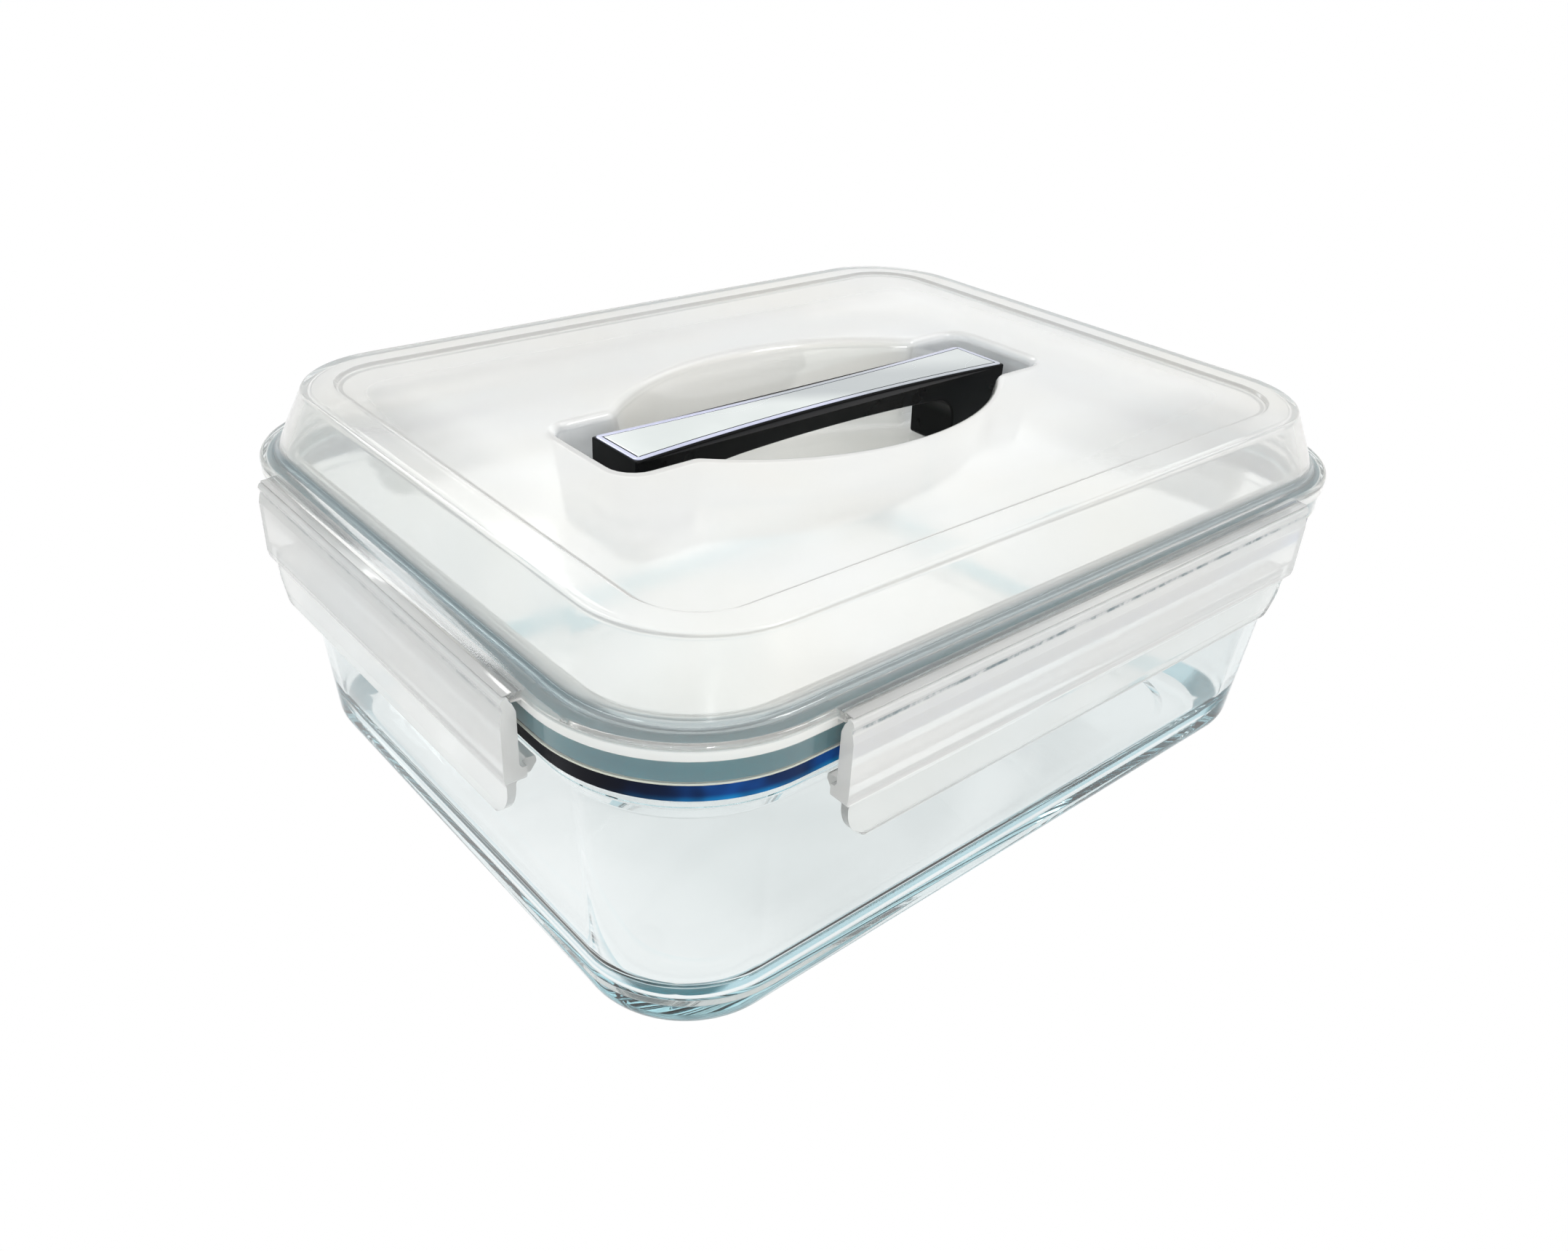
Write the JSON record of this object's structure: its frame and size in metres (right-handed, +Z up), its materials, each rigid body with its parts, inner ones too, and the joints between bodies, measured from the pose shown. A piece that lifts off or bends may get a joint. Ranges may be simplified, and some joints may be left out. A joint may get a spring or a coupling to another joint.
{
  "type": "snap lid food container",
  "caption": "Rectangular glass food container with a frosted snap lid, side latches on living hinges, a gasket and a carrying handle sunk in the lid.",
  "frame": {"origin": "centre of the underside of the glass bowl, on the table plane", "axes": "+Z up, +X along the container's long side and the handle, +Y along the short side; the front latch is on -Y"},
  "size_m": [0.2904, 0.2292, 0.1136],
  "materials": {
    "glass": "clear polished glass, thick base and rim",
    "lid": "frosted translucent polypropylene, satin",
    "latch": "clear-frosted translucent polypropylene, satin",
    "gasket": "soft silicone, satin",
    "handle_black": "black moulded plastic, fine satin grain",
    "handle_silver": "silver grey inlay, satin"
  },
  "bodies": {
    "bowl": {"glass_bowl": "glass"},
    "lid": {"lid_shell": "lid", "lid_gasket": "gasket", "handle_grip": "handle_black", "handle_cover_plate": "handle_silver"},
    "latch_front": {"latch_front": "latch", "hinge_web_front": "latch", "catch_bead_front": "latch"},
    "latch_right": {"latch_right": "latch", "hinge_web_right": "latch", "catch_bead_right": "latch"},
    "latch_back": {"latch_back": "latch", "hinge_web_back": "latch", "catch_bead_back": "latch"},
    "latch_left": {"latch_left": "latch", "hinge_web_left": "latch", "catch_bead_left": "latch"}
  },
  "joints": [
    {"name": "lid_lift", "type": "slide", "parent": "bowl", "child": "lid", "axis": [0, 0, 1], "range_m": [0, 0.14]},
    {"name": "latch_front_hinge", "type": "hinge", "parent": "lid", "child": "latch_front", "pos_m": [0, -0.1126, 0.0943], "axis": [-1, 0, 0], "range_deg": [0, 120], "deforming": ["hinge_web_front", "catch_bead_front"]},
    {"name": "latch_right_hinge", "type": "hinge", "parent": "lid", "child": "latch_right", "pos_m": [0.1432, 0, 0.0943], "axis": [0, -1, 0], "range_deg": [0, 120], "deforming": ["hinge_web_right", "catch_bead_right"]},
    {"name": "latch_back_hinge", "type": "hinge", "parent": "lid", "child": "latch_back", "pos_m": [0, 0.1126, 0.0943], "axis": [1, 0, 0], "range_deg": [0, 120], "deforming": ["hinge_web_back", "catch_bead_back"]},
    {"name": "latch_left_hinge", "type": "hinge", "parent": "lid", "child": "latch_left", "pos_m": [-0.1432, 0, 0.0943], "axis": [0, 1, 0], "range_deg": [0, 120], "deforming": ["hinge_web_left", "catch_bead_left"]}
  ]
}
